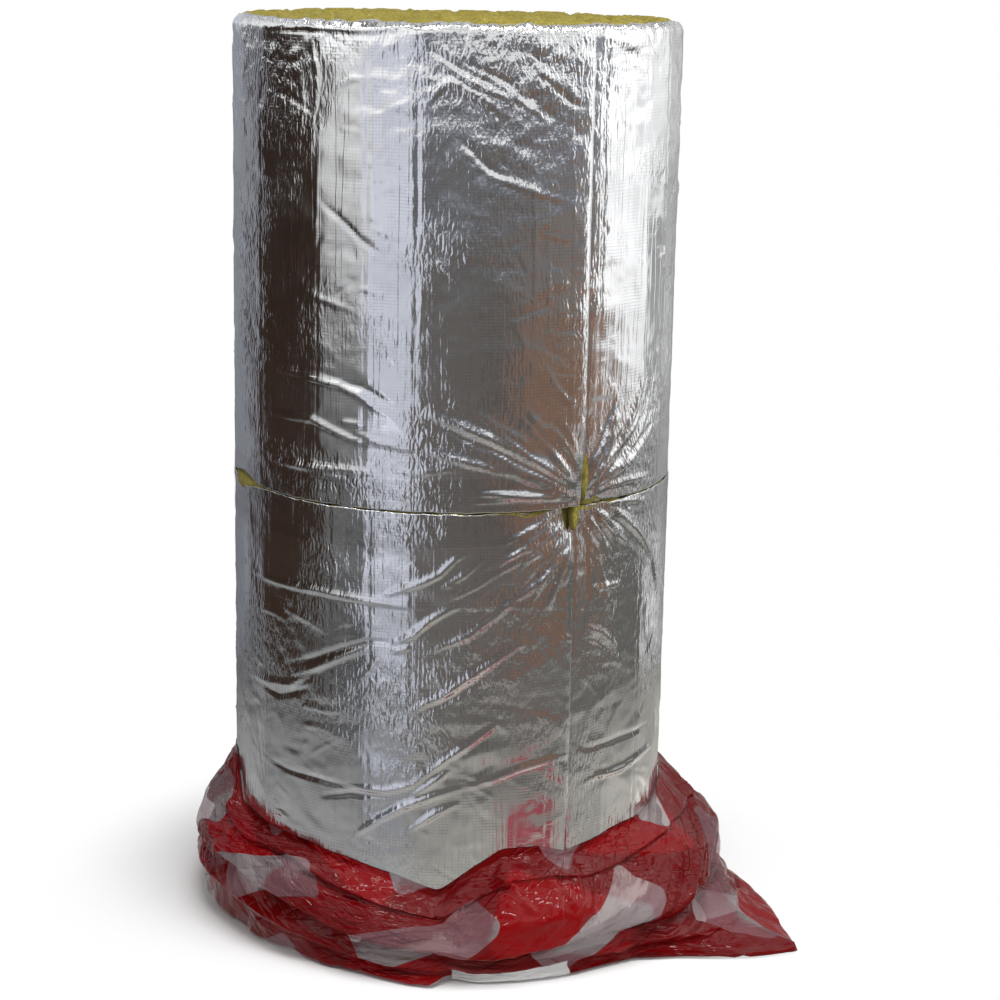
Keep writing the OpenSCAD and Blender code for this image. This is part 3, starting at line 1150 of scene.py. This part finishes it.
def woolFaces(v, angle, back, slats):
    # radius of the ribbon's outer and inner face
    outer = np.where(
        back < 360,
        wallRadius(angle, back, slats) - v["behindFoil"],
        gapRadius(np.maximum(back - 360, 0)) - v["gap"] / 2,
    )
    # both outer turns lie deeper under the free end
    below = np.where(back < 360, back, back - 360)
    dip = v["endDip"] * np.where(back < 360, 1, v["secondDip"]) * (back < 720)
    outer = outer - dip * bell(below, v["endReach"])
    inner = np.maximum(gapRadius(back) + v["gap"] / 2, roll["coreRadius"])
    return outer, np.minimum(inner, outer - v["thinEnd"] / 2)


def makeWool(name, node, base, seam, slats, seed):
    v = woolSet
    dice = np.random.default_rng(seed)
    back, along = woundAngles(v)
    angle = seam - back
    turn = np.radians(angle)
    outer, inner = woolFaces(v, angle, back, slats)
    crack = v["crack"] * bell((along + v["slat"] / 2) % v["slat"] - v["slat"] / 2, v["crackWidth"])
    draws = dice.normal(0, 1, len(along) + v["loftSteps"] - 1)
    loft = np.convolve(draws, np.hanning(v["loftSteps"]), "valid") * v["loft"]
    # section of the ribbon: in over the upper end, down, out over the lower end and up the outer face
    across = np.sin(np.linspace(-np.pi / 2, np.pi / 2, v["acrossRows"]))
    lowDome, highDome = (v["jointDome"], v["dome"]) if base else (v["dome"], v["jointDome"])
    top = matWidth - (v["topDrop"] if base else 0)
    points = []
    for t, side in [(t, 1) for t in across] + [(t, -1) for t in across[::-1]]:
        middle = 1 - abs(t)
        radius = inner + (outer - inner) * (0.5 - t / 2)
        # the outer turn keeps its height up to the foil
        fall = abs(t) ** np.where((back < 360) & (t < 0), v["outerPower"], v["domePower"])
        height = top - highDome * fall if side > 0 else lowDome * fall
        # the edge at the joint stands out to the foil
        if t == across[0] and (side < 0) == (base > 0):
            radius = radius + v["lip"]
        fuzz = dice.normal(0, v["rough"], len(along)) * middle
        z = height + base + side * (fuzz - crack + loft * middle)
        points.append(onRound(radius, turn, np.clip(z, base, base + matWidth)))
    points.append(onRound(outer, turn, base + (v["lipHeight"] if base else matWidth - v["lipHeight"])))
    points = np.array(points + points[:1])
    piece = gridMesh(name, points)
    cap(piece, points.shape[0] - 1, points.shape[1])
    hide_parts(node)
    return piece


def cap(piece, rows, columns):
    # closes both ends of the ribbon, and joins its first and last row
    work = bmesh.new()
    work.from_mesh(piece.data)
    work.verts.ensure_lookup_table()
    for column in (0, columns - 1):
        loop = [work.verts[row * columns + column] for row in range(rows)]
        work.faces.new(loop if column else loop[::-1])
    bmesh.ops.remove_doubles(work, verts=work.verts, dist=1e-6)
    bmesh.ops.recalc_face_normals(work, faces=work.faces)
    work.to_mesh(piece.data)
    work.free()


# Wool that bulges from the slits and the gap at the joint: pixel of its middle, then width, height, depth
# and how far its middle lies inside the roll, in mm.
tufts = {
    "upperTuft": ((588, 478), 9, 50, 14, 9),
    "lowerTuft": ((578, 517), 10, 32, 14, 9),
    "leftTuft": ((243, 482), 130, 28, 12, 6),
}

tuftSet = {
    "around": 28,
    "rows": 20,
    "uneven": 0.05,
}


def makeTuft(v, name, pixel, width, tall, deep, inside, seed):
    dice = np.random.default_rng(seed)
    angle, z = seenOnRoll(*pixel)
    work = bmesh.new()
    bmesh.ops.create_uvsphere(work, u_segments=v["around"], v_segments=v["rows"], radius=0.5)
    for vert in work.verts:
        size = Vector((vert.co.x * deep, vert.co.y * width, vert.co.z * tall))
        place = size * (1 + dice.normal(0, v["uneven"])) / 1000
        radius = rollRadius - inside / 1000 + place.x
        turn = math.radians(angle) + place.y / rollRadius
        vert.co = Vector((radius * math.cos(turn), radius * math.sin(turn), z / 1000 + place.z))
    for face in work.faces:
        face.smooth = True
    mesh = bpy.data.meshes.new(name)
    work.to_mesh(mesh)
    work.free()
    return addObject(name, mesh)


# Finish of the wool: colours of its clumps and of the shade between its fibres.
woolLookSet = {
    "shade": rgb(0.175, 0.14, 0.022),
    "deep": rgb(0.30, 0.25, 0.04),
    "pale": rgb(0.43, 0.37, 0.085),
    "fibreStretch": (1.0, 1.0, 0.35),
    "fibre": (420.0, 4.0, 0.65, 1.2),  # scale per m, detail, roughness, distortion
    "fibreFrom": (0.35, 0.75),
    "clump": (45.0, 3.0),
    "clumpFrom": (0.3, 0.7),
    "clumpHeight": 0.6,
    "roughness": 0.95,
    "bump": (0.002, 0.8),  # distance in m, strength
}


def woolFinish(v):
    f = Finish("wool")
    spot = f.node("ShaderNodeTexCoord", {}, {}, "Object")
    fibre = f.noise(f.stretch(spot, v["fibreStretch"]), *v["fibre"])
    clump = f.noise(spot, *v["clump"])
    lit = f.blend(clump.ease(*v["clumpFrom"]), v["deep"], v["pale"])
    return f.principled({
        "Base Color": f.blend(fibre.ease(*v["fibreFrom"]), v["shade"], lit),
        "Roughness": v["roughness"],
        "Normal": f.bump(fibre + clump * v["clumpHeight"], *v["bump"]),
    })


woolLook = woolFinish(woolLookSet)
upperWool = makeWool("upperWool", "upper_wool", matWidth, roll["upperSeam"], upperSlats, 5)
lowerWool = makeWool("lowerWool", "lower_wool", 0.0, roll["lowerSeam"], lowerSlats, 6)
tuftPieces = [makeTuft(tuftSet, name, *values, seed) for seed, (name, values) in enumerate(tufts.items())]
for piece in [upperWool, lowerWool, *tuftPieces]:
    dress(piece, woolLook)
print("wool made:", len(upperWool.data.polygons) + len(lowerWool.data.polygons), "faces")


# Clear tape once round the joint, a little askew. It is black but nearly clear, so that it only adds gloss.
tapeSet = {
    "width": 0.072,
    "tilt": 2.5,
    "over": 0.0012,
    "columns": 640,
    "rows": 25,
    "colour": rgb(0.0, 0.0, 0.0),
    "roughness": 0.05,
    "alpha": 0.06,
    "ior": 1.5,
}


def makeTape(v):
    turn = np.radians(np.linspace(-180, 180, v["columns"], endpoint=False))
    across = np.linspace(-0.5, 0.5, v["rows"]) * v["width"]
    tilt = math.tan(math.radians(v["tilt"]))
    z = matWidth + rollRadius * np.cos(turn)[None, :] * tilt + across[:, None]
    # the foil's own surface under each point, as high as it is close by, so that nothing comes through
    graph = bpy.context.evaluated_depsgraph_get()
    trees = [BVHTree.FromObject(piece, graph) for piece in (upperFoil, lowerFoil)]
    radius = np.full(z.shape, rollRadius - roll["lap"])
    for row, column in np.ndindex(z.shape):
        radius[row, column] = max(radius[row, column], outermost(trees, turn[column], z[row, column]))
    for axis in (0, 1):
        shifted = [np.roll(radius, step, axis=axis) for step in (-1, 0, 1)]
        if axis == 0:
            shifted[0][-1], shifted[2][0] = radius[-1], radius[0]
        radius = np.maximum.reduce(shifted)
    radius = (np.roll(radius, 1, axis=1) + 2 * radius + np.roll(radius, -1, axis=1)) / 4 + v["over"]
    piece = gridMesh("jointTape", onRound(radius, turn, z), closed=True)
    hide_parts("joint_tape")
    return piece


def tapeFinish(v):
    return Finish("tape").principled({
        "Base Color": v["colour"],
        "Roughness": v["roughness"],
        "Alpha": v["alpha"],
        "IOR": v["ior"],
    })


tape = makeTape(tapeSet)
dress(tape, tapeFinish(tapeSet))
print("tape made")


# Wrap film: one printed tube, slipped down, with a cuff that sags over the skirt below it and a tail on the
# floor. Metres and degrees; sheetRadius, fades and facets in mm.
filmSet = {
    "seed": 31,
    "columns": 680,
    "rows": 144,
    "weld": 100.0,
    "weldFade": 4.0,
    "fineStep": 0.5,
    "soften": 5.0,
    "softenRows": 5,
    "sheetRadius": 290,
    "gap": 0.0004,
    "floorGap": 0.0008,
    "hemOut": (0.8, 1.6),
    "hemStrip": 9,
    "hemFade": 25,
    "footFade": 40,
    "follow": (0.002, 0.03),
    "followColumns": 2,
    "facetHeight": 0.0032,
    "flatWidth": 1.95,
}

# Facets of the film: size in mm, share of the height, stretch and lean.
filmFacets = [(22.0, 1.0, 2.6, -0.45), (8.8, 0.35, 1.6, -0.2)]

# Sections through the film: angle, height of the hem in mm, then distance from the roll and height at the
# first strip's edge and tuck, the belly, the cuff's edge and tuck, the low strip's edge and tuck, the floor
# and the lower edge.
filmSections = [
    (-180, 172, (12, 144), (8, 139), (35, 106), (44, 80), (32, 75), (45, 46), (33, 39), (37, 4), (10, 2)),
    (-168, 178, (16, 146), (12, 140), (38, 106), (46, 82), (34, 76), (46, 52), (34, 44), (36, 4), (8, 2)),
    (-160, 128, (24, 120), (18, 115), (41, 100), (48, 84), (35, 77), (46, 50), (33, 42), (34, 4), (8, 2)),
    (-146, 122, (27, 112), (21, 107), (42, 96), (48, 86), (34, 78), (45, 46), (32, 38), (28, 4), (8, 2)),
    (-130, 121, (28, 113), (22, 108), (42, 92), (49, 71), (34, 63), (46, 38), (32, 30), (31, 4), (8, 2)),
    (-114, 112, (30, 88), (25, 84), (46, 70), (53, 52), (36, 43), (47, 24), (34, 18), (40, 4), (10, 2)),
    (-102, 100, (32, 74), (28, 71), (52, 60), (61, 47), (42, 37), (53, 18), (42, 13), (54, 4), (14, 2)),
    (-92, 85, (34, 66), (31, 64), (56, 56), (67, 44), (45, 34), (58, 18), (52, 12), (66, 4), (14, 2)),
    (-89, 94, (34, 72), (31, 70), (58, 57), (68, 38), (42, 30), (42, 15), (36, 10), (40, 4), (12, 2)),
    (-84, 110, (34, 86), (31, 84), (60, 61), (68, 32), (45, 27), (51, 14), (47, 9), (54, 4), (14, 2)),
    (-76, 131, (38, 108), (35, 106), (66, 72), (69, 35), (46, 30), (55, 15), (52, 10), (59, 4), (14, 2)),
    (-66, 130, (40, 110), (37, 108), (70, 74), (71, 41), (47, 33), (57, 16), (54, 11), (62, 4), (14, 2)),
    (-57, 117, (35, 100), (32, 98), (67, 70), (73, 47), (50, 36), (58, 18), (54, 12), (60, 4), (14, 2)),
    (-48, 120, (25, 98), (21, 94), (60, 66), (75, 50), (53, 38), (64, 20), (60, 13), (67, 4), (16, 2)),
    (-41, 126, (23, 100), (19, 95), (60, 70), (80, 52), (64, 38), (84, 20), (80, 13), (98, 4), (30, 2)),
    (-34, 126, (24, 102), (20, 97), (60, 76), (80, 54), (72, 38), (104, 20), (106, 13), (156, 4), (60, 2)),
    (-28, 125, (25, 104), (21, 99), (60, 80), (79, 56), (74, 39), (116, 20), (122, 13), (197, 4), (80, 2)),
    (-20, 128, (28, 108), (24, 103), (62, 84), (78, 60), (72, 42), (104, 22), (108, 14), (160, 4), (70, 2)),
    (-8, 142, (36, 112), (33, 109), (70, 84), (77, 62), (72, 44), (94, 26), (96, 16), (122, 4), (40, 2)),
    (0, 155, (42, 112), (40, 110), (73, 82), (76, 60), (66, 44), (84, 26), (82, 16), (104, 4), (30, 2)),
    (20, 160, (24, 128), (19, 124), (52, 92), (58, 66), (42, 60), (52, 36), (40, 30), (54, 4), (12, 2)),
    (55, 168, (17, 142), (12, 137), (38, 104), (48, 78), (34, 72), (47, 44), (34, 37), (44, 4), (10, 2)),
    (90, 158, (22, 130), (17, 125), (42, 98), (52, 70), (36, 63), (50, 40), (36, 33), (46, 4), (10, 2)),
    (125, 170, (15, 148), (11, 143), (38, 110), (47, 84), (34, 78), (46, 50), (33, 43), (42, 4), (10, 2)),
    (155, 160, (14, 138), (10, 133), (36, 100), (45, 74), (32, 68), (46, 42), (33, 36), (40, 4), (10, 2)),
]

# Folds drawn on the film: points as (angle, distance from the hem in mm), then height and half width in mm.
filmFolds = [
    ([(-82, 4), (-76, 40), (-70, 90)], 4, 6),
    ([(-66, 6), (-64, 50), (-66, 100)], -4, 6),
    ([(-57, 6), (-60, 50), (-64, 105)], 4, 6),
    ([(-50, 10), (-56, 60), (-64, 115)], -4, 6),
    ([(-96, 8), (-90, 50), (-84, 100)], -3, 6),
    ([(-4, 50), (-20, 80), (-40, 118), (-60, 150)], 7, 8),
    ([(-2, 75), (-22, 112), (-44, 160)], -6, 8),
    ([(6, 10), (-4, 50), (-10, 90)], 5, 7),
    ([(-24, 150), (-28, 200), (-28, 250)], 4, 8),
    ([(-38, 150), (-34, 200), (-29, 250)], -4, 8),
    ([(-14, 150), (-22, 200), (-27, 250)], -4, 8),
]


def roundRing(angles, values, wanted, soften, step):
    # values given at angles, read all the way round the ring and softened over an angle
    order = np.argsort(angles)
    at = np.array(angles)[order]
    there = np.array(values)[order]
    at = np.concatenate([at - 360, at, at + 360])
    there = np.concatenate([there, there, there])
    fine = np.arange(-540, 540, step)
    line = np.interp(fine, at, there)
    window = np.hanning(int(soften / step) | 1)
    line = np.convolve(line, window / window.sum(), "same")
    return np.interp(wanted, fine, line)


def filmBase(v):
    # angle, place along the section, distance from the roll and height of the film without its folds
    angle = np.linspace(v["weld"] - 360, v["weld"], v["columns"])
    stations = [section[0] for section in filmSections]
    # a narrow strip below the hem lies against the roll
    near, far = v["hemOut"]
    lines = [[(near, hem), (far, hem - v["hemStrip"]), *rest] for _, hem, *rest in filmSections]
    count = len(lines[0])
    keys = np.array([
        [
            roundRing(stations, [line[key][axis] for line in lines], angle, v["soften"], v["fineStep"])
            for axis in (0, 1)
        ]
        for key in range(count)
    ])
    # even steps along the section, the same for every angle
    mean = keys.mean(axis=2)
    length = np.concatenate([[0], np.cumsum(np.hypot(*np.diff(mean, axis=0).T))])
    along = np.linspace(0, length[-1], v["rows"])
    which = np.clip(np.searchsorted(length, along, side="right") - 1, 0, count - 2)
    share = ((along - length[which]) / (length[which + 1] - length[which]))[:, None, None]
    line = keys[which] * (1 - share) + keys[which + 1] * share
    half = v["softenRows"] // 2
    window = np.hanning(v["softenRows"] + 2)[1:-1]
    window = window / window.sum()
    padded = np.concatenate([np.repeat(line[:1], half, 0), line, np.repeat(line[-1:], half, 0)])
    soft = sum(w * padded[i : i + v["rows"]] for i, w in enumerate(window))
    return angle, along, soft[:, 0] / 1000, soft[:, 1] / 1000


def filmLift(v, angle, along, sheetAlong, sheetUp):
    # height of folds and facets, which fade out at the weld and at both edges
    dice = np.random.default_rng(v["seed"])
    lift = np.zeros(sheetAlong.shape)
    for points, tall, wide in filmFolds:
        spots = [(math.radians(place) * v["sheetRadius"], height) for place, height in points]
        addRidge(lift, sheetAlong, sheetUp, spots, tall, wide)
    for size, share, stretch, lean in filmFacets:
        lift += v["facetHeight"] * share * facets(sheetAlong, sheetUp, size, stretch, lean, dice)
    first, last = angle[0], angle[-1]
    weld = smooth(angle, first, first + v["weldFade"]) * (1 - smooth(angle, last - v["weldFade"], last))
    edges = smooth(along, 0, v["hemFade"]) * (1 - smooth(along, along[-1] - v["footFade"], along[-1]))
    return lift * weld[None, :] * edges[:, None]


def makeFilm(v):
    angle, along, out, up = filmBase(v)
    turn = np.radians(angle)
    # normal of each section, pointing outwards
    dOut = np.gradient(out, axis=0)
    dUp = np.gradient(up, axis=0)
    size = np.hypot(dOut, dUp) + 1e-9
    sheetAlong = np.broadcast_to(turn * v["sheetRadius"], out.shape)
    sheetUp = np.broadcast_to(along[:, None], out.shape)
    lift = filmLift(v, angle, along, sheetAlong, sheetUp)
    out = np.maximum(out - lift * dUp / size, v["gap"])
    up = np.maximum(up + lift * dOut / size, v["floorGap"])
    # near the hem the film follows the foil under it
    wall = np.full(out.shape, rollRadius)
    trees = [BVHTree.FromObject(lowerFoil, bpy.context.evaluated_depsgraph_get())]
    for row, column in np.argwhere(out < v["follow"][1]):
        wall[row, column] = outermost(trees, turn[column], up[row, column]) or rollRadius
    steps = range(-v["followColumns"], v["followColumns"] + 1)
    wall = np.maximum.reduce([np.roll(wall, step, axis=1) for step in steps])
    radius = rollRadius + out - (rollRadius - wall) * (1 - smooth(out, *v["follow"]))
    place = np.stack([sheetAlong / 1000, sheetUp / 1000, out], axis=-1)
    piece = gridMesh("wrapFilm", onRound(radius, turn, up), place)
    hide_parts("wrap_film")
    return piece


# Finish of the film: red with bars left unprinted, bars of the layer behind, and a bare label on the skirt.
filmLookSet = {
    "red": rgb(0.13, 0.0005, 0.0012),
    "redBacked": rgb(0.21, 0.001, 0.0025),
    "milky": rgb(0.25, 0.10, 0.115),
    "milkyBacked": rgb(0.33, 0.265, 0.275),
    "labelColour": rgb(0.66, 0.65, 0.65),
    "labelAt": (-0.385, 0.192),
    "labelSize": (0.125, 0.075),
    "labelEdge": 0.0005,
    "labelAlpha": 0.95,
    "alpha": 0.96,
    "clearAlpha": 0.42,
    "roughness": 0.055,
    "ior": 1.5,
    "specular": 0.30,
    "drift": (30.0, 0.016),
    "patchScale": 7.0,
    "patchFrom": (0.35, 0.70),
    "patchLeast": 0.3,
    "cells": ((0.5, 1.5, 0.0), 26.0, 6.5),  # stretch, scale per m, height in mm
    "longCreases": (0.5, (0.16, 1.3, 0.0), 42.0),  # turn, stretch, scale
    "crossCreases": (-0.3, (0.2, 1.2, 0.0), 60.0),
    "crossShare": 0.6,
    "creaseHeight": 1.2,
}

# Bars of the print: turn in radians, then sizes in m.
clearBars = {"turn": 0.55, "line": 0.112, "pitch": 0.260, "length": 0.140, "width": 0.036, "edge": 0.0006}
behindBars = {"turn": -0.40, "line": 0.140, "pitch": 0.300, "length": 0.150, "width": 0.060, "edge": 0.004}


def bars(f, at, turn, line, pitch, length, width, edge, corner=0.012, stagger=0.36):
    # staggered slanted bars with round corners: 1 inside a bar
    spread = f.split(f.turn(at, turn))
    lines = spread.also("Y") / line
    row = lines.floor()
    x = (((spread + row * (stagger * pitch)) % pitch - pitch / 2).absolute() - length / 2).most(0.0)
    y = (((lines - row - 0.5) * line).absolute() - width / 2).most(0.0)
    return (x * x + y * y).root().ease(corner + edge, corner - edge)


def filmFinish(v):
    f = Finish("film")
    at = f.place("place")
    clear = bars(f, at, **clearBars)
    behind = bars(f, at, **behindBars)
    flat = f.split(at)
    labelX = (flat - v["labelAt"][0]).absolute() - v["labelSize"][0] / 2
    labelY = (flat.also("Y") - v["labelAt"][1]).absolute() - v["labelSize"][1] / 2
    label = labelX.most(labelY).ease(v["labelEdge"], -v["labelEdge"])
    moved = f.drift(at, *v["drift"])
    patches = f.flatNoise(at, v["patchScale"]).ease(*v["patchFrom"]) + v["patchLeast"]
    stretch, scale, height = v["cells"]
    cells = f.flatCells(f.stretch(moved, stretch), scale) * height
    creases = f.creases(at, *v["longCreases"]) + f.creases(at, *v["crossCreases"]) * v["crossShare"]
    red = f.blend(behind, v["red"], v["redBacked"])
    milky = f.blend(behind, v["milky"], v["milkyBacked"])
    return f.principled({
        "Base Color": f.blend(label, f.blend(clear, red, milky), v["labelColour"]),
        "Roughness": v["roughness"],
        "IOR": v["ior"],
        "Specular IOR Level": v["specular"],
        "Alpha": (v["alpha"] - clear * v["clearAlpha"]).most(label * v["labelAlpha"]),
        "Normal": f.bump((cells + creases * v["creaseHeight"]) * patches, 0.001),
    })


film = makeFilm(filmSet)
dress(film, filmFinish(filmLookSet))
